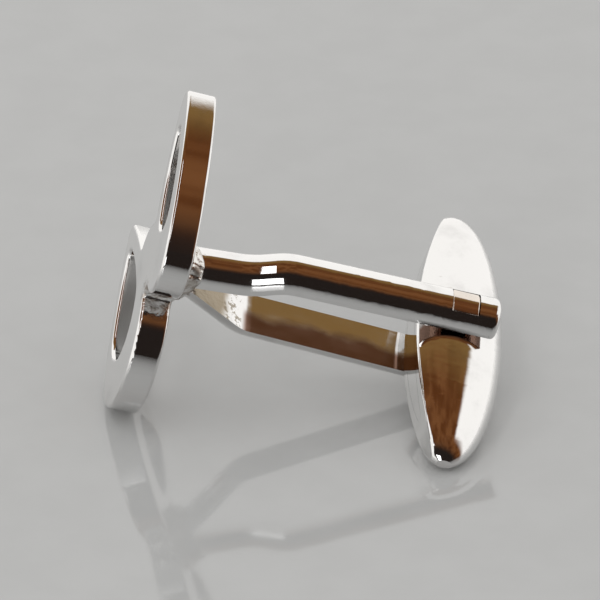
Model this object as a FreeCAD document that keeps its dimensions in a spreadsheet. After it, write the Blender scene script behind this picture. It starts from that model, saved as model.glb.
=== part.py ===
import FreeCAD, Part
import math
import os
import re

from FreeCAD import Placement, Rotation, Vector
import Sketcher

# Cufflink with a swivelling torpedo toggle, in millimetres.
# Every piece is drawn in the stem's own frame: X runs from the emblem's back face towards the toggle,
# Y runs along the pivot pin, from the upper arm to the lower arm, and Z runs along the closed toggle.
# One placement then lays the whole cufflink down on its side, as it lies on a table.

SIZES = [
    # emblem: two openwork petals that grow from one hub
    ("plate_thickness", 1.6),
    ("plate_edge_round", 0.18),
    ("upper_base_y", -2.7),
    ("upper_base_z", -1.4),
    ("upper_base_radius", 2.1),
    ("upper_tip_y", -6.0),
    ("upper_tip_z", 6.2),
    ("upper_tip_radius", 0.95),
    ("upper_side_radius", 14.0),
    ("upper_slot_base_y", -3.55),
    ("upper_slot_base_z", 0.9),
    ("upper_slot_base_radius", 1.05),
    ("upper_slot_tip_y", -5.2),
    ("upper_slot_tip_z", 4.9),
    ("upper_slot_tip_radius", 0.5),
    ("upper_slot_side_radius", 8.5),
    ("lower_base_y", 4.0),
    ("lower_base_z", -1.45),
    ("lower_base_radius", 3.95),
    ("lower_tip_y", 4.2),
    ("lower_tip_z", 5.7),
    ("lower_tip_radius", 0.75),
    ("lower_side_radius", 24.0),
    ("lower_slot_base_y", 4.2),
    ("lower_slot_base_z", -0.1),
    ("lower_slot_base_radius", 2.25),
    ("lower_slot_tip_y", 4.2),
    ("lower_slot_tip_z", 4.2),
    ("lower_slot_tip_radius", 0.5),
    ("lower_slot_side_radius", 12.0),
    ("hub_y", 0.1),
    ("hub_z", 0.3),
    ("hub_radius", 2.3),
    ("hub_corner_round", 0.3),
    # the fork: two half-round arms, flat sides facing each other
    ("arm_width", 2.65),
    ("arm_height", 1.19),
    ("arm_length", 17.12),
    ("pin_half_gap", 2.0),
    ("arm_end_round", 0.3),
    ("foot_shift", -0.47),
    ("foot_half_gap", 0.08),
    ("upper_foot_length", 3.175),
    ("upper_foot_angle", 6.2),
    ("upper_spread_angle", 26.2),
    ("upper_heel_radius", 4.64),
    ("upper_knee_radius", 2.2),
    ("upper_splay_angle", 1.1),
    ("lower_foot_length", 0.42),
    ("lower_foot_angle", 2.0),
    ("lower_spread_angle", 30.5),
    ("lower_heel_radius", 1.7),
    ("lower_knee_radius", 1.7),
    ("lower_splay_angle", 1.7),
    ("solder_height", 0.45),
    ("solder_clearance", 0.01),
    ("solder_foot_wall", 0.5),
    ("solder_neck_wall", 0.21),
    ("foot_corner_reach", "=sqrt(arm_width * arm_width / 4 + foot_half_gap * foot_half_gap)"),
    ("foot_lean", "=solder_height * tan(max(upper_foot_angle; lower_foot_angle) * 1deg)"),
    ("solder_bore_radius", "=max(foot_corner_reach; foot_half_gap + arm_height) + foot_lean + solder_clearance"),
    # pivot pin
    ("pin_to_arm_end", 1.9),
    ("pin_reach", "=arm_length - pin_to_arm_end"),
    ("upper_end_half_gap", "=pin_half_gap + pin_to_arm_end * tan(upper_splay_angle * 1deg)"),
    ("lower_end_half_gap", "=pin_half_gap + pin_to_arm_end * tan(lower_splay_angle * 1deg)"),
    ("arm_crown_radius", "=(arm_height * arm_height + arm_width * arm_width / 4) / (2 * arm_height)"),
    ("pin_journal_radius", 0.75),
    ("pin_head_width", 1.5),
    ("pin_cam_width", 1.06),
    ("pin_cam_half_length", 1.2),
    ("pin_end_recess", 0.02),
    ("pin_edge_round", 0.1),
    ("pin_seat_clearance", 0.01),
    ("pin_shoulder_clearance", 0.03),
    ("pin_running_clearance", 0.04),
    # torpedo toggle
    ("toggle_half_length", 8.65),
    ("toggle_shift", -0.25),
    ("toggle_half_depth", 2.88),
    ("toggle_tip_share", 0.16),
    ("toggle_face_flat", 0.73),
    ("toggle_face_depth", "=toggle_half_depth - toggle_face_flat"),
    ("toggle_face_drop", "=0.7 * toggle_face_depth"),
    ("toggle_face_bow_radius",
     "=(toggle_half_length * toggle_half_length + toggle_face_drop * toggle_face_drop) / (2 * toggle_face_drop)"),
    ("toggle_ridge_round", 0.2),
    ("toggle_arm_clearance", 0.17),
    ("toggle_side_wall", 0.5),
    ("toggle_back_wall", 0.65),
    ("toggle_end_wall", 1.8),
    ("cover_half_length", 6.4),
    ("cover_half_width", 0.75),
    ("cover_thickness", 0.35),
    ("cover_clearance", 0.02),
    ("spring_thickness", 0.22),
    ("spring_half_width", 0.45),
    ("spring_half_length", "=0.4 * toggle_half_length"),
    ("spring_cam_clearance", 0.02),
    ("spring_cover_clearance", 0.09),
    ("face_bow", "=spring_half_length * spring_half_length / (2 * toggle_face_bow_radius)"),
    ("spring_room", "=toggle_face_depth - face_bow - cover_thickness - pin_cam_width / 2"),
    ("spring_rise", "=spring_room - spring_thickness - spring_cam_clearance - spring_cover_clearance"),
    ("spring_bow_radius",
     "=(spring_half_length * spring_half_length + spring_rise * spring_rise) / (2 * spring_rise)"),
    # heading of the stem on the table, seen from above
    ("rest_heading_angle", 3.2),
]

doc = FreeCAD.newDocument("cufflink")
sheet = doc.addObject("Spreadsheet::Sheet", "Sizes")
for row, (alias, value) in enumerate(SIZES, start=1):
    sheet.set("A%d" % row, alias)
    sheet.set("B%d" % row, str(value))
    sheet.setAlias("B%d" % row, alias)
doc.recompute()


def size(alias):
    """Read one driving dimension from the sheet."""
    return float(sheet.get(alias))


def bind(item, prop, formula):
    """Tie a property to the sheet: words in the formula that name a size are read from it."""
    names = {alias for alias, _ in SIZES}
    linked = re.sub(r"\w+", lambda word: "Sizes." + word[0] if word[0] in names else word[0], formula)
    item.setExpression(prop, linked)


def new_body(name):
    """Start one piece of the cufflink."""
    body = doc.addObject("PartDesign::Body", name)
    body.Label = name
    return body


def new_sketch(body, name, plane):
    """A sketch on one of the body's own origin planes."""
    sketch = body.newObject("Sketcher::SketchObject", name)
    origin_plane = [item for item in body.Origin.OriginFeatures if item.Role == plane][0]
    sketch.AttachmentSupport = (origin_plane, [""])
    sketch.MapMode = "FlatFace"
    return sketch


def dimension(sketch, kind, geometry, formula):
    """Add a named driving constraint and tie it to the sheet."""
    index = sketch.addConstraint(Sketcher.Constraint(kind, *geometry))
    bind(sketch, "Constraints[%d]" % index, formula)


def arc(centre, radius, start, end):
    """Counter-clockwise arc between two points of a circle."""
    first = math.atan2(start.y - centre.y, start.x - centre.x)
    last = math.atan2(end.y - centre.y, end.x - centre.x)
    if last <= first:
        last += 2 * math.pi
    return Part.ArcOfCircle(Part.Circle(centre, Vector(0, 0, 1), radius), first, last)


def petal_sketch(body, name, prefix):
    """Teardrop outline: a base round and a tip round joined by two bowed sides, all tangent."""
    sketch = new_sketch(body, name, "YZ_Plane")
    base = Vector(size(prefix + "_base_y"), size(prefix + "_base_z"))
    tip = Vector(size(prefix + "_tip_y"), size(prefix + "_tip_z"))
    base_radius = size(prefix + "_base_radius")
    tip_radius = size(prefix + "_tip_radius")
    side_radius = size(prefix + "_side_radius")
    along = tip - base
    span = along.Length
    along.normalize()
    across = Vector(along.y, -along.x)
    to_base = side_radius - base_radius
    to_tip = side_radius - tip_radius
    reach = (to_base ** 2 - to_tip ** 2 + span ** 2) / (2 * span)
    offset = math.sqrt(to_base ** 2 - reach ** 2)
    right_centre = base + along * reach - across * offset
    left_centre = base + along * reach + across * offset

    def touch(centre, radius, side_centre):
        outward = centre - side_centre
        return centre + outward.normalize() * radius

    base_right = touch(base, base_radius, right_centre)
    tip_right = touch(tip, tip_radius, right_centre)
    base_left = touch(base, base_radius, left_centre)
    tip_left = touch(tip, tip_radius, left_centre)
    right_side = sketch.addGeometry(arc(right_centre, side_radius, base_right, tip_right))
    tip_round = sketch.addGeometry(arc(tip, tip_radius, tip_right, tip_left))
    left_side = sketch.addGeometry(arc(left_centre, side_radius, tip_left, base_left))
    base_round = sketch.addGeometry(arc(base, base_radius, base_left, base_right))
    ring = [right_side, tip_round, left_side, base_round]
    for position, piece in enumerate(ring):
        following = ring[(position + 1) % len(ring)]
        sketch.addConstraint(Sketcher.Constraint("Tangent", piece, 2, following, 1))
    dimension(sketch, "DistanceX", (-1, 1, base_round, 3, base.x), prefix + "_base_y")
    dimension(sketch, "DistanceY", (-1, 1, base_round, 3, base.y), prefix + "_base_z")
    dimension(sketch, "DistanceX", (-1, 1, tip_round, 3, tip.x), prefix + "_tip_y")
    dimension(sketch, "DistanceY", (-1, 1, tip_round, 3, tip.y), prefix + "_tip_z")
    dimension(sketch, "Radius", (base_round, base_radius), prefix + "_base_radius")
    dimension(sketch, "Radius", (tip_round, tip_radius), prefix + "_tip_radius")
    dimension(sketch, "Radius", (right_side, side_radius), prefix + "_side_radius")
    dimension(sketch, "Radius", (left_side, side_radius), prefix + "_side_radius")
    return sketch


def boolean(kind, name, base, tool):
    """Cut one solid with another, or keep what they share."""
    result = doc.addObject("Part::" + kind, name)
    result.Base = base
    result.Tool = tool
    return result


def pad_forward(body, sketch, name):
    """Raise a plate outline from the emblem's back face towards its front."""
    pad = body.newObject("PartDesign::Pad", name)
    pad.Profile = sketch
    pad.Reversed = True
    bind(pad, "Length", "plate_thickness")
    return pad


def round_edges(body, name, edges, radius):
    """Fillet named edges of the body's last feature."""
    base = body.Tip
    fillet = body.newObject("PartDesign::Fillet", name)
    fillet.Base = (base, edges)
    bind(fillet, "Radius", radius)
    body.Tip = fillet
    doc.recompute()


def make_emblem():
    """Plate of a hub and two petals, each petal with a slot through it, all rims rounded."""
    body = new_body("emblem_plate")
    hub = new_sketch(body, "hub_outline", "YZ_Plane")
    centre = Vector(size("hub_y"), size("hub_z"))
    circle = hub.addGeometry(Part.Circle(centre, Vector(0, 0, 1), size("hub_radius")))
    dimension(hub, "DistanceX", (-1, 1, circle, 3, centre.x), "hub_y")
    dimension(hub, "DistanceY", (-1, 1, circle, 3, centre.y), "hub_z")
    dimension(hub, "Radius", (circle, size("hub_radius")), "hub_radius")
    pad_forward(body, hub, "hub")
    for petal in ("upper", "lower"):
        pad_forward(body, petal_sketch(body, petal + "_petal_outline", petal), petal + "_petal")
    doc.recompute()
    corners = []
    for number, edge in enumerate(body.Shape.Edges, start=1):
        middle = edge.BoundBox.Center
        from_hub = math.hypot(middle.y - centre.x, middle.z - centre.y)
        if edge.BoundBox.XLength > 1e-6 and abs(from_hub - size("hub_radius")) < 1e-4:
            corners.append("Edge%d" % number)
    round_edges(body, "hub_corners", corners, "hub_corner_round")
    for petal in ("upper", "lower"):
        before = body.Shape.Volume
        pocket = body.newObject("PartDesign::Pocket", petal + "_slot")
        pocket.Profile = petal_sketch(body, petal + "_slot_outline", petal + "_slot")
        pocket.Type = "ThroughAll"
        doc.recompute()
        if body.Shape.Volume > before - 1e-6:
            raise RuntimeError(petal + " slot cuts nothing")
    faces_x = (0.0, -size("plate_thickness"))
    rims = []
    for number, edge in enumerate(body.Shape.Edges, start=1):
        box = edge.BoundBox
        if box.XLength < 1e-6 and min(abs(box.XMin - x) for x in faces_x) < 1e-6:
            rims.append("Edge%d" % number)
    round_edges(body, "rounded_rims", rims, "plate_edge_round")
    return body


def arm_path(body, side, prefix):
    """Centre line of an arm's flat face: foot, bend out, slope, bend back, long straight run.

    The feet stand together, nearer to the upper arm, so the upper arm only jogs and the lower one slopes out.
    """
    sketch = new_sketch(body, "bend_line", "XY_Plane")
    spread = math.radians(size(prefix + "_spread_angle"))
    splay = math.radians(size(prefix + "_splay_angle"))
    heel_radius = size(prefix + "_heel_radius")
    knee_radius = size(prefix + "_knee_radius")
    foot_y = size("foot_half_gap") + side * size("foot_shift")
    foot_angle = math.radians(size(prefix + "_foot_angle"))
    lean = Vector(math.cos(foot_angle), math.sin(foot_angle))
    first_setback = heel_radius * math.tan((spread - foot_angle) / 2)
    second_setback = knee_radius * math.tan((spread - splay) / 2)
    slope = Vector(math.cos(spread), math.sin(spread))
    run = Vector(math.cos(splay), math.sin(splay))
    heel = Vector(0, foot_y) + lean * (size(prefix + "_foot_length") + first_setback)
    end = Vector(size("arm_length"), size(prefix + "_end_half_gap"))
    back = end - heel
    rise = (back.x * run.y - back.y * run.x) / (slope.x * run.y - slope.y * run.x)
    knee = heel + slope * rise
    points = [
        Vector(0, foot_y),
        heel - lean * first_setback,
        heel + slope * first_setback,
        knee - slope * second_setback,
        knee + run * second_setback,
        end,
    ]
    first_centre = points[1] + Vector(-lean.y, lean.x) * heel_radius
    second_centre = points[4] + Vector(run.y, -run.x) * knee_radius

    def on_side(point):
        return Vector(point.x, side * point.y)

    def bend(centre, radius, start, finish, turns_left):
        if turns_left == (side > 0):
            return arc(on_side(centre), radius, on_side(start), on_side(finish)), 1, 2
        return arc(on_side(centre), radius, on_side(finish), on_side(start)), 2, 1

    def straight(start, finish):
        return sketch.addGeometry(Part.LineSegment(on_side(start), on_side(finish)))

    foot = straight(points[0], points[1])
    shape, enter_first, leave_first = bend(first_centre, heel_radius, points[1], points[2], True)
    first = sketch.addGeometry(shape)
    ramp = straight(points[2], points[3])
    shape, enter_second, leave_second = bend(second_centre, knee_radius, points[3], points[4], False)
    second = sketch.addGeometry(shape)
    long_run = straight(points[4], points[5])
    sketch.addConstraint(Sketcher.Constraint("Tangent", foot, 2, first, enter_first))
    sketch.addConstraint(Sketcher.Constraint("Tangent", first, leave_first, ramp, 1))
    sketch.addConstraint(Sketcher.Constraint("Tangent", ramp, 2, second, enter_second))
    sketch.addConstraint(Sketcher.Constraint("Tangent", second, leave_second, long_run, 1))
    sketch.addConstraint(Sketcher.Constraint("PointOnObject", foot, 1, -2))
    sign = "" if side > 0 else "-1 * "
    dimension(sketch, "DistanceY", (-1, 1, foot, 1, side * foot_y), "foot_shift + " + sign + "foot_half_gap")
    dimension(sketch, "Distance", (foot, size(prefix + "_foot_length")), prefix + "_foot_length")
    dimension(sketch, "Angle", (-1, 1, foot, 1, side * foot_angle), sign + prefix + "_foot_angle * 1 deg")
    dimension(sketch, "Radius", (first, heel_radius), prefix + "_heel_radius")
    dimension(sketch, "Radius", (second, knee_radius), prefix + "_knee_radius")
    dimension(sketch, "Angle", (-1, 1, ramp, 1, side * spread), sign + prefix + "_spread_angle * 1 deg")
    dimension(sketch, "Angle", (-1, 1, long_run, 1, side * splay), sign + prefix + "_splay_angle * 1 deg")
    dimension(sketch, "DistanceX", (-1, 1, long_run, 2, end.x), "arm_length")
    dimension(sketch, "DistanceY", (-1, 1, long_run, 2, side * end.y), sign + prefix + "_end_half_gap")
    return sketch


def make_arm(prefix, side, seat_width):
    """Half-round wire bent along the path, with a square seat for the pin near its end."""
    body = new_body(prefix + "_arm")
    path = arm_path(body, side, prefix)
    profile = new_sketch(body, "half_round", "YZ_Plane")
    half_width = size("arm_width") / 2
    height = size("arm_height")
    radius = (height ** 2 + half_width ** 2) / (2 * height)
    flat_y = size("foot_shift") + side * size("foot_half_gap")
    low = Vector(flat_y, -half_width)
    high = Vector(flat_y, half_width)
    centre = Vector(flat_y + side * (height - radius), 0)
    flat = profile.addGeometry(Part.LineSegment(low, high))
    ends = (low, high) if side > 0 else (high, low)
    crown = profile.addGeometry(arc(centre, radius, *ends))
    joins = ((1, 1), (2, 2)) if side > 0 else ((2, 1), (1, 2))
    for flat_end, crown_end in joins:
        profile.addConstraint(Sketcher.Constraint("Coincident", flat, flat_end, crown, crown_end))
    profile.addConstraint(Sketcher.Constraint("Symmetric", flat, 1, flat, 2, -1))
    sign = "" if side > 0 else "-1 * "
    dimension(profile, "DistanceX", (-1, 1, flat, 1, flat_y), "foot_shift + " + sign + "foot_half_gap")
    dimension(profile, "DistanceY", (flat, 1, flat, 2, 2 * half_width), "arm_width")
    dimension(profile, "Radius", (crown, radius), "arm_crown_radius")
    doc.recompute()
    pipe = body.newObject("PartDesign::AdditivePipe", "bent_wire")
    pipe.Profile = profile
    pipe.Spine = (path, ["Edge%d" % (n + 1) for n in range(len(path.Shape.Edges))])
    doc.recompute()
    before = body.Shape.Volume
    seat = new_sketch(body, "pin_seat_outline", "XZ_Plane")
    half_seat = size(seat_width) / 2 + size("pin_seat_clearance")
    reach = size("pin_reach")
    corners = [Vector(reach + dx * half_seat, dz * half_seat)
               for dx, dz in ((-1, -1), (1, -1), (1, 1), (-1, 1))]
    sides = [seat.addGeometry(Part.LineSegment(corners[n], corners[(n + 1) % 4])) for n in range(4)]
    for n in range(4):
        seat.addConstraint(Sketcher.Constraint("Coincident", sides[n], 2, sides[(n + 1) % 4], 1))
        seat.addConstraint(Sketcher.Constraint("Vertical" if n % 2 else "Horizontal", sides[n]))
    seat_formula = seat_width + " + 2 * pin_seat_clearance"
    half_formula = seat_width + " / 2 + pin_seat_clearance"
    dimension(seat, "DistanceX", (sides[0], 1, sides[0], 2, 2 * half_seat), seat_formula)
    dimension(seat, "DistanceY", (sides[1], 1, sides[1], 2, 2 * half_seat), seat_formula)
    dimension(seat, "DistanceX", (-1, 1, sides[1], 1, reach + half_seat), "pin_reach + " + half_formula)
    dimension(seat, "DistanceY", (-1, 1, sides[1], 2, half_seat), half_formula)
    pocket = body.newObject("PartDesign::Pocket", "pin_seat")
    pocket.Profile = seat
    pocket.Type = "ThroughAll"
    pocket.Midplane = True
    doc.recompute()
    if body.Shape.Volume > before - 1e-6:
        raise RuntimeError(prefix + " arm has no pin seat")
    end_x = max(vertex.X for vertex in body.Shape.Vertexes)
    tip_edges = []
    for number, edge in enumerate(body.Shape.Edges, start=1):
        if min(vertex.X for vertex in edge.Vertexes) > end_x - size("arm_height") / 4:
            tip_edges.append("Edge%d" % number)
    round_edges(body, "rounded_tip", tip_edges, "arm_end_round")
    return body


def make_solder():
    """Low cone of solder, bored for the two feet that stand in it."""
    turn = Placement(Vector(), Rotation(Vector(0, 1, 0), 90))
    cone = doc.addObject("Part::Cone", "solder_cone")
    bind(cone, "Radius1", "solder_bore_radius + solder_foot_wall")
    bind(cone, "Radius2", "solder_bore_radius + solder_neck_wall")
    bind(cone, "Height", "solder_height")
    cone.Placement = turn
    bind(cone, "Placement.Base.y", "foot_shift")
    bore = doc.addObject("Part::Cylinder", "solder_bore")
    bind(bore, "Radius", "solder_bore_radius")
    bind(bore, "Height", "solder_height")
    bore.Placement = turn
    bind(bore, "Placement.Base.y", "foot_shift")
    solder = boolean("Cut", "solder_joint", cone, bore)
    solder.Label = "solder_joint"
    return solder


PIN_AXIS = Rotation(Vector(1, 0, 0), -90)


def y_cylinder(name, radius, start, length):
    """Cylinder along the pin axis, from a start position."""
    cylinder = doc.addObject("Part::Cylinder", name)
    bind(cylinder, "Radius", radius)
    bind(cylinder, "Height", length)
    cylinder.Placement = Placement(Vector(), PIN_AXIS)
    bind(cylinder, "Placement.Base.x", "pin_reach")
    bind(cylinder, "Placement.Base.y", start)
    return cylinder


def y_bar(name, width, start, length):
    """Square bar along the pin axis, from a start position."""
    bar = doc.addObject("Part::Box", name)
    bind(bar, "Length", width)
    bind(bar, "Width", length)
    bind(bar, "Height", width)
    bind(bar, "Placement.Base.x", "pin_reach - " + width + " / 2")
    bind(bar, "Placement.Base.y", start)
    bind(bar, "Placement.Base.z", "-1 * " + width + " / 2")
    return bar


def crowned(bar, side):
    """Round a pin end's outer face to the crown of the arm that it sits in, and soften its edges."""
    crown = doc.addObject("Part::Cylinder", bar.Name + "_crown")
    bind(crown, "Radius", "arm_crown_radius - pin_end_recess")
    bind(crown, "Height", "2 * pin_head_width")
    crown.Placement = Placement(Vector(), Rotation(Vector(0, 1, 0), 90))
    bind(crown, "Placement.Base.x", "pin_reach - pin_head_width")
    bind(crown, "Placement.Base.y", "%d * (pin_half_gap + arm_height - arm_crown_radius)" % side)
    cut = boolean("Common", bar.Name + "_crowned", bar, crown)
    doc.recompute()
    fillet = doc.addObject("Part::Fillet", bar.Name + "_rounded")
    fillet.Base = cut
    edge_round = size("pin_edge_round")
    inner_y = side * size("pin_half_gap")
    fillet.Edges = [(number, edge_round, edge_round) for number, edge in enumerate(cut.Shape.Edges, start=1)
                    if max(side * vertex.Y for vertex in edge.Vertexes) > side * inner_y]
    return fillet


def make_pin():
    """Round journals beside a square cam, a square head above and a square tail below."""
    shoulder = "(pin_half_gap - pin_shoulder_clearance)"
    outer = "(arm_height + pin_shoulder_clearance)"
    journal = "(" + shoulder + " - pin_cam_half_length)"
    head = y_bar("pin_head", "pin_head_width", "-1 * " + shoulder + " - " + outer, outer)
    tail = y_bar("pin_tail", "pin_cam_width", shoulder, outer)
    cam = y_bar("pin_cam", "pin_cam_width", "-1 * pin_cam_half_length", "2 * pin_cam_half_length")
    upper = y_cylinder("pin_upper_journal", "pin_journal_radius", "-1 * " + shoulder, journal)
    lower = y_cylinder("pin_lower_journal", "pin_journal_radius", "pin_cam_half_length", journal)
    rounded = [crowned(head, -1), crowned(tail, 1)]
    pin = doc.addObject("Part::MultiFuse", "pivot_pin")
    pin.Shapes = rounded + [cam, upper, lower]
    pin.Label = "pivot_pin"
    return pin


# Share of the half length, from the middle to the tip, at which the spindle's sections stand.
SPINDLE_STATIONS = (0.0, 0.3, 0.55, 0.75, 0.9, 0.97, 1.0)


def spindle(name, half_length, half_depth, half_width):
    """Loft of ellipses centred on the pin, long along Z, that ends in two small blunt tips.

    The sections start on the side of the bowed face, so that the loft's seam is cut away with it.
    """
    sections = []
    shares = [-share for share in reversed(SPINDLE_STATIONS[1:])] + list(SPINDLE_STATIONS)
    for number, share in enumerate(shares):
        fullness = "sqrt(1 - %g * (1 - toggle_tip_share * toggle_tip_share))" % share ** 2
        section = doc.addObject("Part::Ellipse", "%s_section_%d" % (name, number))
        section.Placement = Placement(Vector(), Rotation(Vector(0, 0, 1), 180))
        bind(section, "MajorRadius", "(" + half_depth + ") * " + fullness)
        bind(section, "MinorRadius", "(" + half_width + ") * " + fullness)
        bind(section, "Placement.Base.x", "pin_reach")
        bind(section, "Placement.Base.z", "toggle_shift + %g * (" % share + half_length + ")")
        sections.append(section)
    loft = doc.addObject("Part::Loft", name)
    loft.Sections = sections
    loft.Solid = True
    return loft


def bowed_drum(name, radius, centre_x, centre_z):
    """Wide drum across the toggle, whose rim gives a bowed face."""
    drum = doc.addObject("Part::Cylinder", name)
    bind(drum, "Radius", radius)
    bind(drum, "Height", "4 * toggle_half_depth")
    drum.Placement = Placement(Vector(), PIN_AXIS)
    bind(drum, "Placement.Base.x", centre_x)
    bind(drum, "Placement.Base.y", "-2 * toggle_half_depth")
    bind(drum, "Placement.Base.z", centre_z)
    return drum


def cover_prism(name, inset):
    """Upright elliptical column that passes through the toggle's bowed face."""
    outline = doc.addObject("Part::Ellipse", name + "_outline")
    bind(outline, "MajorRadius", "cover_half_length - " + inset)
    bind(outline, "MinorRadius", "cover_half_width - " + inset)
    outline.Placement = Placement(Vector(), Rotation(Vector(0, 1, 0), 90))
    bind(outline, "Placement.Base.x", "pin_reach - 2 * toggle_half_depth")
    prism = doc.addObject("Part::Extrusion", name)
    prism.Base = outline
    prism.DirMode = "Custom"
    prism.Dir = Vector(1, 0, 0)
    bind(prism, "LengthFwd", "2 * toggle_half_depth - toggle_face_depth + 2 * cover_thickness")
    prism.Solid = True
    return prism


HALF_WIDTH = "(pin_half_gap - toggle_arm_clearance)"
FACE_CENTRE = "pin_reach - toggle_face_depth + toggle_face_bow_radius"


def make_toggle_shell():
    """Hollow spindle with a bowed face, an opening for the cover and a bore for the pin."""
    body = spindle("toggle_body", "toggle_half_length", "toggle_half_depth", HALF_WIDTH)
    drum = bowed_drum("toggle_face_drum", "toggle_face_bow_radius", FACE_CENTRE, "toggle_shift")
    faced = boolean("Common", "toggle_faced", body, drum)
    doc.recompute()
    rounded = doc.addObject("Part::Fillet", "toggle_ridge")
    rounded.Base = faced
    ridge_round = size("toggle_ridge_round")
    rounded.Edges = [(number, ridge_round, ridge_round) for number, edge in enumerate(faced.Shape.Edges, start=1)
                     if edge.Length > size("toggle_half_length")]
    cavity = spindle("toggle_cavity", "toggle_half_length - toggle_end_wall",
                     "toggle_half_depth - toggle_back_wall", HALF_WIDTH + " - toggle_side_wall")
    hollow = boolean("Cut", "toggle_hollow", rounded, cavity)
    opened = boolean("Cut", "toggle_opened", hollow, cover_prism("cover_opening", "0"))
    bore_radius = "pin_journal_radius + pin_running_clearance"
    wall = "2 * toggle_side_wall"
    upper = y_cylinder("toggle_upper_bore", bore_radius, "-1 * " + HALF_WIDTH + " - toggle_side_wall / 2", wall)
    lower = y_cylinder("toggle_lower_bore", bore_radius, HALF_WIDTH + " - 3 * toggle_side_wall / 2", wall)
    half_bored = boolean("Cut", "toggle_half_bored", opened, upper)
    shell = boolean("Cut", "toggle_shell", half_bored, lower)
    shell.Label = "toggle_shell"
    return shell


def make_cover():
    """Bowed plate that closes the toggle's face, a little smaller than its opening."""
    outer = bowed_drum("cover_outer_drum", "toggle_face_bow_radius", FACE_CENTRE, "toggle_shift")
    inner = bowed_drum("cover_inner_drum", "toggle_face_bow_radius - cover_thickness", FACE_CENTRE,
                       "toggle_shift")
    skin = boolean("Cut", "cover_skin", outer, inner)
    cover = boolean("Common", "toggle_cover", cover_prism("cover_column", "cover_clearance"), skin)
    cover.Label = "toggle_cover"
    return cover


def make_spring():
    """Bowed leaf: its crown lies on the cam's flat, its ends on the cover."""
    crown_x = "pin_reach - pin_cam_width / 2 - spring_cam_clearance"
    centre_x = crown_x + " - spring_bow_radius"
    outer = bowed_drum("spring_outer_drum", "spring_bow_radius", centre_x, "0 mm")
    inner = bowed_drum("spring_inner_drum", "spring_bow_radius - spring_thickness", centre_x, "0 mm")
    ring = boolean("Cut", "spring_ring", outer, inner)
    strip = doc.addObject("Part::Box", "spring_strip")
    bind(strip, "Length", "2 * toggle_half_depth")
    bind(strip, "Width", "2 * spring_half_width")
    bind(strip, "Height", "2 * spring_half_length")
    bind(strip, "Placement.Base.x", "pin_reach - 2 * toggle_half_depth")
    bind(strip, "Placement.Base.y", "-1 * spring_half_width")
    bind(strip, "Placement.Base.z", "-1 * spring_half_length")
    spring = boolean("Common", "detent_spring", ring, strip)
    spring.Label = "detent_spring"
    return spring


def table_placement(emblem, arm, toggle, pieces):
    """Lay the cufflink on the three points it lies on: emblem rim, lower arm's end and toggle's tip."""
    supports = [piece.Shape.tessellate(0.005)[0] for piece in (emblem, arm, toggle)]
    up = Vector(-0.3, -0.9, 0.3).normalize()
    for _ in range(20):
        feet = [min(points, key=lambda point: point.dot(up)) for points in supports]
        normal = (feet[1] - feet[0]).cross(feet[2] - feet[0]).normalize()
        up = normal if normal.dot(up) > 0 else normal * -1
    stem = Vector(1, 0, 0)
    forward = (stem - up * stem.dot(up)).normalize()
    heading = Rotation(up, -size("rest_heading_angle"))
    x_axis = heading.multVec(forward)
    y_axis = up.cross(x_axis)
    turn = Rotation(x_axis, y_axis, up, "ZXY").inverted()
    lying = Placement(Vector(), turn)
    whole = Part.makeCompound([piece.Shape for piece in pieces])
    whole.Placement = lying
    box = whole.optimalBoundingBox(False, False)
    return Placement(Vector(-box.Center.x, -box.Center.y, -box.ZMin), turn)


emblem = make_emblem()
upper_arm = make_arm("upper", -1, "pin_head_width")
lower_arm = make_arm("lower", 1, "pin_cam_width")
solder = make_solder()
pin = make_pin()
shell = make_toggle_shell()
cover = make_cover()
spring = make_spring()
pieces = [emblem, solder, upper_arm, lower_arm, pin, shell, cover, spring]
doc.recompute()

rest = table_placement(emblem, lower_arm, shell, pieces)
for piece in pieces:
    piece.Placement = rest.multiply(piece.Placement)
doc.recompute()

for item in doc.Objects:
    if "Invalid" in item.State or "Error" in item.State:
        raise RuntimeError("%s failed: %s" % (item.Name, item.State))
os.makedirs("parts", exist_ok=True)
for piece in pieces:
    if not piece.Shape.isValid() or len(piece.Shape.Solids) != 1:
        raise RuntimeError(piece.Label + " is not one valid solid")
    piece.Shape.exportStep("parts/%s.step" % piece.Label)
    print("%-14s volume %8.3f mm3  box %s" % (piece.Label, piece.Shape.Volume, piece.Shape.BoundBox))
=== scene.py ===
import math

import bmesh
import bpy
from mathutils import Matrix, Vector, noise


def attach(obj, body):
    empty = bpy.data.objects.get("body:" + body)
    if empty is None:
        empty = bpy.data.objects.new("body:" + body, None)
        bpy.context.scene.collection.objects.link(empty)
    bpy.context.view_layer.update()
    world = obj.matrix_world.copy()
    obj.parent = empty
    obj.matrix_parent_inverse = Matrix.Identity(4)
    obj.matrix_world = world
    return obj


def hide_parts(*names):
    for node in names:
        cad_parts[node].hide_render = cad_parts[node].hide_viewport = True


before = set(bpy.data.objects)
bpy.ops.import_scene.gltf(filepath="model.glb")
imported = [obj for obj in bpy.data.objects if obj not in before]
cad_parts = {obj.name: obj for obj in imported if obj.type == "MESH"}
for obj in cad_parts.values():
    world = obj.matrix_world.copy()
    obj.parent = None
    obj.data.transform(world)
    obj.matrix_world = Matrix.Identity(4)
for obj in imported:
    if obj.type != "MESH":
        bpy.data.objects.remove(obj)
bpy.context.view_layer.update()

MM = 0.001

# The stem's own frame as it lies on the table: its foot, and the ways of the stem, the pin and the toggle.
STEM_FOOT = Vector((-6.7666, -0.5779, 7.8184)) * MM
STEM_WAY = Vector((0.956750, 0.053491, -0.285951))
PIN_WAY = Vector((-0.287573, 0.322393, -0.901867))
TOGGLE_WAY = Vector((0.043947, 0.945093, 0.323832))

# Places in that frame: the notch between the petals, and how far the two feet sit off the stem's axis.
NOTCH = Vector((-0.8, -0.25, -1.95)) * MM
FEET_SHIFT = -0.47 * MM

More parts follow.
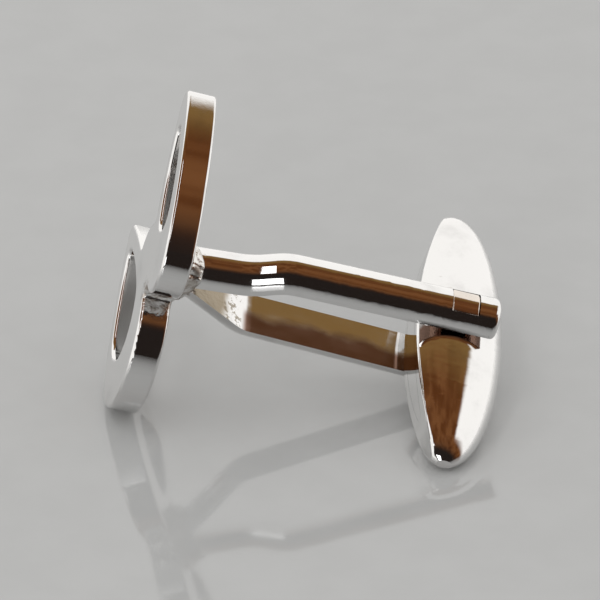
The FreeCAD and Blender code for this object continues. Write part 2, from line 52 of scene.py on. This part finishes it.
# The solder mound: height over the emblem's back and radius in millimetres, and the side it is heaped on.
MOUND_PROFILE = ((0.0, 0.0), (0.0, 1.89), (0.08, 1.80), (0.18, 1.69), (0.32, 1.60),
                 (0.46, 1.53), (0.58, 1.46), (0.64, 1.38), (0.66, 1.2), (0.66, 0.0))
MOUND_TURNS = 72
MOUND_CORE = 1.1 * MM
MOUND_BASE = 0.02 * MM
HEAP_WAY = Vector((0.0, -0.73, -0.68))
HEAP_RISE = 0.85
HEAP_SPREAD = 0.06
LUMP_LIFT = Vector((0.6, 0.0, 0.0))
# Lumps per millimetre, and their size in millimetres.
LUMPS = ((2.2, 0.09), (5.5, 0.05))
MERGE_GAP = 0.001 * MM

TABLE_HALF_WIDTH = 3.0

# The camera, found from the photograph: it looks along +Y and down, through a long lens.
CAMERA_PITCH = math.radians(29.1)
CAMERA_AIM = Vector((-0.142, 10.576, 0.0)) * MM
CAMERA_DISTANCE = 400 * MM
SENSOR_WIDTH = 36.0
FOCAL_PIXELS = 7320
PICTURE_PIXELS = 600


def rgb(red, green, blue):
    return (red, green, blue, 1.0)


# Plating, what dulls it, and the painted reflections on the arms' inner faces.
BRIGHT_PLATE = (0.80, 0.795, 0.79)
RUBBED_PIN = (0.74, 0.68, 0.62)
HANDLED_SHADE = 0.84
SPATTER_GRIME = rgb(0.36, 0.30, 0.25)
PAINTED_TAN_REFLECTION = rgb(0.31, 0.255, 0.18)
SLOPE_SPECKS = rgb(0.22, 0.18, 0.12)
PAINTED_BROWN_REFLECTION = rgb(0.17, 0.062, 0.022)

# The other finishes.
BRIGHT_SOLDER = rgb(0.74, 0.73, 0.71)
DULL_SOLDER = rgb(0.44, 0.40, 0.36)
BLUED_STRIP = rgb(0.20, 0.23, 0.30)
RUBBED_STRIP = rgb(0.42, 0.44, 0.48)
TABLE_GREY = rgb(0.60, 0.60, 0.59)
TABLE_LIGHT = rgb(0.62, 0.62, 0.61)

# The room that the metal mirrors, and the even light on everything else.
ROOM_SHADE = rgb(0.11, 0.036, 0.010)
ROOM_WARM = rgb(0.19, 0.075, 0.026)
CEILING_TAN = rgb(0.225, 0.128, 0.042)
BEHIND_CAMERA = rgb(0.018, 0.013, 0.011)
PALE_SCREEN = rgb(1.15, 1.13, 1.10)
SOFT_LIGHT = rgb(0.62, 0.62, 0.62)


def stem_matrix():
    """Turns the stem's own coordinates into the table's."""
    turn = Matrix((STEM_WAY, PIN_WAY, TOGGLE_WAY)).transposed().to_4x4()
    return Matrix.Translation(STEM_FOOT) @ turn


class Wire:
    """One socket of a node tree, with arithmetic that adds Math nodes."""

    def __init__(self, tree, socket=None):
        self.tree = tree
        self.socket = socket

    def node(self, kind, settings=None, output=0, **inputs):
        """Add any node: its settings, then the values or links of its sockets, by name or as i0, i1, i2."""
        made = self.tree.nodes.new(kind)
        for name, value in (settings or {}).items():
            setattr(made, name, value)
        for name, value in inputs.items():
            numbered = name[0] == "i" and name[1:].isdigit()
            target = made.inputs[int(name[1:]) if numbered else name.replace("_", " ")]
            if isinstance(value, Wire):
                self.tree.links.new(value.socket, target)
            else:
                target.default_value = value
        return Wire(self.tree, made.outputs[output] if made.outputs else None)

    def math(self, operation, first, second):
        return self.node("ShaderNodeMath", {"operation": operation}, i0=first, i1=second)

    def __add__(self, other):
        return self.math("ADD", self, other)

    __radd__ = __add__

    def __sub__(self, other):
        return self.math("SUBTRACT", self, other)

    def __rsub__(self, other):
        return self.math("SUBTRACT", other, self)

    def __mul__(self, other):
        return self.math("MULTIPLY", self, other)

    def either(self, other):
        """Full where this or the other is full."""
        return self + other - self * other

    def step(self, low, high):
        """Smooth step from 0 at low to 1 at high."""
        return self.node("ShaderNodeMapRange", {"interpolation_type": "SMOOTHSTEP"},
                         Value=self, From_Min=low, From_Max=high)

    def blend(self, first, second):
        """Mix two colours by this factor; the node's colour sockets are inputs 6 and 7 and output 2."""
        return self.node("ShaderNodeMix", {"data_type": "RGBA"}, output=2, i0=self, i6=first, i7=second)

    def part(self, axis):
        return self.node("ShaderNodeSeparateXYZ", output=axis, Vector=self)

    def reach(self, start, way):
        """How far a place lies from a start point along a way."""
        along = self.node("ShaderNodeVectorMath", {"operation": "DOT_PRODUCT"}, output="Value",
                          i0=self, i1=tuple(way))
        return along - start.dot(way)

    def distance(self, point):
        """How far a place lies from a point."""
        return self.node("ShaderNodeVectorMath", {"operation": "DISTANCE"}, output="Value",
                         i0=self, i1=tuple(point))

    def grain(self, scale, detail, roughness=0.5):
        """Noise over this place."""
        return self.node("ShaderNodeTexNoise", Vector=self, Scale=scale, Detail=detail, Roughness=roughness)


def new_material(name):
    """An empty material, its tree as a Wire, and the place on the piece."""
    material = bpy.data.materials.new(name)
    material.use_nodes = True
    material.node_tree.nodes.clear()
    tree = Wire(material.node_tree)
    return material, tree, tree.node("ShaderNodeTexCoord", output="Object")


def finish_metal(tree, tone, roughness, height, strength, depth):
    """Close a material as bare metal with a fine relief."""
    bump = tree.node("ShaderNodeBump", Strength=strength, Distance=depth, Height=height)
    shader = tree.node("ShaderNodeBsdfPrincipled", Base_Color=tone, Metallic=1.0,
                       Roughness=roughness, Normal=bump)
    tree.node("ShaderNodeOutputMaterial", Surface=shader)


def polished_plating(name, colour, haze, polish_way, waviness=0.3, spatter=None, inner_way=None):
    """Bright plated metal: faint waves from polishing, hairline scratches, cloudy spots of handling.

    Spatter gives the share of uneven surface at a place. With an inner way, the flat face on that side
    gets a painted brown reflection along one edge, and its slope is crumbly, rougher and painted with a tan
    reflection near the solder.
    """
    material, tree, place = new_material(name)
    turn = polish_way.to_track_quat("X", "Z").inverted().to_euler()
    lined_up = tree.node("ShaderNodeMapping", Vector=place, Rotation=tuple(turn))
    combed = tree.node("ShaderNodeMapping", Vector=lined_up, Scale=(90.0, 2600.0, 2600.0))
    hairlines = combed.grain(2.2, 5.0, 0.62)
    clouds = place.grain(420.0, 4.0, 0.55)
    waves = place.grain(480.0, 1.5, 0.4)
    handled = clouds.step(0.5, 0.78)
    tone = handled.blend(rgb(*colour), rgb(*(HANDLED_SHADE * value for value in colour)))
    roughness = haze + handled * 0.04 + hairlines * 0.03
    height = hairlines * 0.02 + waves * waviness

    if spatter:
        uneven = spatter(place) * place.grain(2300.0, 3.0, 0.6)
        height = height + uneven * 1.2
        roughness = roughness + uneven * 0.2
        tone = (uneven.step(0.42, 0.6) * 0.75).blend(tone, SPATTER_GRIME)

    if inner_way:
        facing = tree.node("ShaderNodeNewGeometry", output="Normal").reach(Vector(), inner_way)
        # The slope out of the foot: rougher near the solder with a painted tan reflection there, then
        # speckled.
        slope = facing.step(0.6, 0.75) * (1.0 - facing.step(0.9, 0.95))
        along = place.reach(STEM_FOOT, STEM_WAY) + (clouds - 0.5) * (1.4 * MM)
        crumbs = place.grain(2600.0, 3.0, 0.6)
        dull = slope * (1.0 - along.step(3.0 * MM, 3.6 * MM))
        speckled = slope * along.step(2.6 * MM, 3.1 * MM) * crumbs.step(0.53, 0.6)
        height = height + slope * crumbs * 1.2
        roughness = roughness + dull * 0.22
        # Painted tan reflection on the slope near the solder, by the same mask that makes it rougher.
        tone = (dull * 0.95).blend(tone, PAINTED_TAN_REFLECTION)
        tone = (speckled * 0.8).blend(tone, SLOPE_SPECKS)
        # The flat face: a painted brown reflection along its near edge, and a little rougher there.
        across = place.reach(STEM_FOOT, TOGGLE_WAY) + (clouds - 0.5) * (1.6 * MM)
        painted_brown_reflection = facing.step(0.93, 0.99) * (1.0 - across.step(-0.45 * MM, 0.35 * MM))
        tone = (painted_brown_reflection * 0.88).blend(tone, PAINTED_BROWN_REFLECTION)
        roughness = roughness + painted_brown_reflection * 0.08

    finish_metal(tree, tone, roughness, height, strength=0.5, depth=0.1 * MM)
    return material


def solder_finish(name):
    """Plated solder that set unevenly: lumps, pits and dull patches."""
    material, tree, place = new_material(name)
    lumps = place.grain(1500.0, 3.0, 0.6)
    pits = tree.node("ShaderNodeTexVoronoi", Vector=place, Scale=2600.0)
    dull = lumps.step(0.42, 0.62)
    tone = dull.blend(BRIGHT_SOLDER, DULL_SOLDER)
    finish_metal(tree, tone, 0.16 + dull * 0.22, lumps + pits * 0.5, strength=0.6, depth=0.15 * MM)
    return material


def spring_strip_finish(name):
    """Rolled spring strip, blued, with lighter streaks along the rolling."""
    material, tree, place = new_material(name)
    rolled = tree.node("ShaderNodeMapping", Vector=place, Scale=(3000.0, 120.0, 3000.0))
    streaks = rolled.grain(1.5, 4.0)
    tone = streaks.step(0.35, 0.65).blend(BLUED_STRIP, RUBBED_STRIP)
    finish_metal(tree, tone, 0.25 + streaks * 0.12, streaks, strength=0.1, depth=0.05 * MM)
    return material


def near_solder(place):
    """Uneven for the first millimetres of the stem."""
    return 1.0 - place.reach(STEM_FOOT, STEM_WAY).step(0.6 * MM, 1.6 * MM)


def in_notch(place):
    """Uneven in the narrow notch between the petals."""
    return 1.0 - place.distance(stem_matrix() @ NOTCH).step(0.9 * MM, 1.5 * MM)


def plate_pieces():
    """Give every piece of the cufflink its finish."""
    finishes = {
        "emblem_plate": polished_plating("polished emblem", BRIGHT_PLATE, 0.04, PIN_WAY,
                                         waviness=0.2, spatter=in_notch),
        "solder_joint": solder_finish("plain solder"),
        "upper_arm": polished_plating("polished upper arm", BRIGHT_PLATE, 0.04, STEM_WAY,
                                      spatter=near_solder, inner_way=PIN_WAY),
        "lower_arm": polished_plating("polished lower arm", BRIGHT_PLATE, 0.05, STEM_WAY,
                                      waviness=0.5, spatter=near_solder, inner_way=-PIN_WAY),
        "pivot_pin": polished_plating("rubbed pin", RUBBED_PIN, 0.08, PIN_WAY, waviness=0.8),
        "toggle_shell": polished_plating("polished toggle", BRIGHT_PLATE, 0.04, TOGGLE_WAY, waviness=0.15),
        "toggle_cover": polished_plating("polished cover", BRIGHT_PLATE, 0.04, TOGGLE_WAY),
        "detent_spring": spring_strip_finish("blued spring strip"),
    }
    for node, material in finishes.items():
        piece = bpy.data.objects[node]
        piece.data.materials.clear()
        piece.data.materials.append(material)


def add_object(name, data):
    """Put new data into the scene as an object."""
    made = bpy.data.objects.new(name, data)
    bpy.context.scene.collection.objects.link(made)
    return made


def solder_fillet():
    """Mound of solder that ran up round the two feet, heaped higher on one side, and set unevenly."""
    mesh = bpy.data.meshes.new("solder_fillet")
    shape = bmesh.new()
    corners = [shape.verts.new((height * MM, radius * MM, 0.0)) for height, radius in MOUND_PROFILE]
    edges = [shape.edges.new(pair) for pair in zip(corners, corners[1:])]
    bmesh.ops.spin(shape, geom=corners + edges, axis=(1.0, 0.0, 0.0), cent=(0.0, 0.0, 0.0),
                   steps=MOUND_TURNS, angle=2 * math.pi, use_merge=True)
    bmesh.ops.remove_doubles(shape, verts=shape.verts, dist=MERGE_GAP)
    bmesh.ops.recalc_face_normals(shape, faces=shape.faces)
    bmesh.ops.subdivide_edges(shape, edges=shape.edges, cuts=1, use_grid_fill=True)
    for vert in shape.verts:
        out = Vector((0.0, vert.co.y, vert.co.z))
        if out.length > MOUND_CORE and vert.co.x > MOUND_BASE:
            heaped = max(0.0, out.normalized().dot(HEAP_WAY)) ** 2
            lump = sum(noise.noise(vert.co / MM * pitch) * size for pitch, size in LUMPS)
            vert.co.x *= 1.0 + HEAP_RISE * heaped
            vert.co += (out.normalized() + LUMP_LIFT) * (lump + HEAP_SPREAD * heaped) * MM
    bmesh.ops.translate(shape, verts=shape.verts, vec=(0.0, FEET_SHIFT, 0.0))
    bmesh.ops.transform(shape, matrix=stem_matrix(), verts=shape.verts)
    for face in shape.faces:
        face.smooth = True
    shape.to_mesh(mesh)
    shape.free()
    mesh.materials.append(solder_finish("uneven solder"))
    ring = add_object("solder_fillet", mesh)
    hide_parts("solder_joint")
    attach(ring, "frame")


def studio_floor():
    """Plain pale table, smooth enough to show a faint image of what lies on it."""
    mesh = bpy.data.meshes.new("table")
    shape = bmesh.new()
    bmesh.ops.create_grid(shape, x_segments=1, y_segments=1, size=TABLE_HALF_WIDTH)
    shape.to_mesh(mesh)
    shape.free()
    material, tree, place = new_material("pale table")
    mottle = place.grain(300.0, 3.0)
    tone = mottle.step(0.3, 0.7).blend(TABLE_GREY, TABLE_LIGHT)
    shader = tree.node("ShaderNodeBsdfPrincipled", Base_Color=tone, Roughness=0.05 + mottle * 0.03)
    tree.node("ShaderNodeOutputMaterial", Surface=shader)
    mesh.materials.append(material)
    table = add_object("table", mesh)


def soft_box(name, place, aim, width, height, radiance):
    """Rectangular studio lamp that faces the aim point."""
    lamp = bpy.data.lights.new(name, "AREA")
    lamp.shape = "RECTANGLE"
    lamp.size = width
    lamp.size_y = height
    lamp.energy = radiance * math.pi * width * height
    box = add_object(name, lamp)
    way = Vector(aim) - Vector(place)
    box.rotation_euler = way.to_track_quat("-Z", "Y").to_euler()
    box.location = place


def studio_world():
    """Even soft light, and for reflections a warm room that is dark behind the camera.

    Pale screens stand in it at the back, on the right, and low on the left before the emblem's front.
    """
    world = bpy.data.worlds.new("soft room")
    world.use_nodes = True
    world.node_tree.nodes.clear()
    tree = Wire(world.node_tree)
    way = tree.node("ShaderNodeTexCoord", output="Generated")
    side, depth, rise = way.part("X"), way.part("Y"), way.part("Z")
    warm = way.grain(5.0, 2.0).step(0.35, 0.65).blend(ROOM_SHADE, ROOM_WARM)
    ceiling = depth.step(0.1, 0.42).blend(warm, CEILING_TAN)
    room = (0.0 - depth).step(0.35, 0.7).blend(ceiling, BEHIND_CAMERA)
    back_screen = depth.step(0.43, 0.5)
    right_screen = side.step(0.60, 0.68) * depth.step(-0.3, -0.1)
    emblem_screen = (0.0 - side).step(0.46, 0.60) * (1.0 - (rise + depth * 0.6).step(0.50, 0.60))
    screens = back_screen.either(right_screen).either(emblem_screen)
    mirrored = screens.blend(room, PALE_SCREEN)
    glossy = tree.node("ShaderNodeLightPath", output="Is Glossy Ray")
    light = tree.node("ShaderNodeBackground", Color=glossy.blend(SOFT_LIGHT, mirrored), Strength=1.0)
    tree.node("ShaderNodeOutputWorld", Surface=light)
    bpy.context.scene.world = world


def photo_camera():
    """Camera at the photograph's viewing angle."""
    lens = bpy.data.cameras.new("camera")
    lens.sensor_width = SENSOR_WIDTH
    lens.lens = SENSOR_WIDTH * FOCAL_PIXELS / PICTURE_PIXELS
    view = add_object("camera", lens)
    back_off = Vector((0.0, -math.cos(CAMERA_PITCH), math.sin(CAMERA_PITCH))) * CAMERA_DISTANCE
    view.location = CAMERA_AIM + back_off
    view.rotation_euler = (math.pi / 2 - CAMERA_PITCH, 0.0, 0.0)
    bpy.context.scene.camera = view


plate_pieces()
solder_fillet()
studio_floor()
studio_world()
soft_box("ceiling lamp", place=(-0.156, -0.146, 0.455), aim=(-0.156, 0.0, 0.006),
         width=0.06, height=0.30, radiance=2.5)
soft_box("low front lamp", place=(-0.13, -0.48, 0.14), aim=(-0.13, 0.0, 0.006),
         width=0.18, height=0.22, radiance=2.5)
photo_camera()
bpy.context.scene.view_settings.view_transform = "Standard"
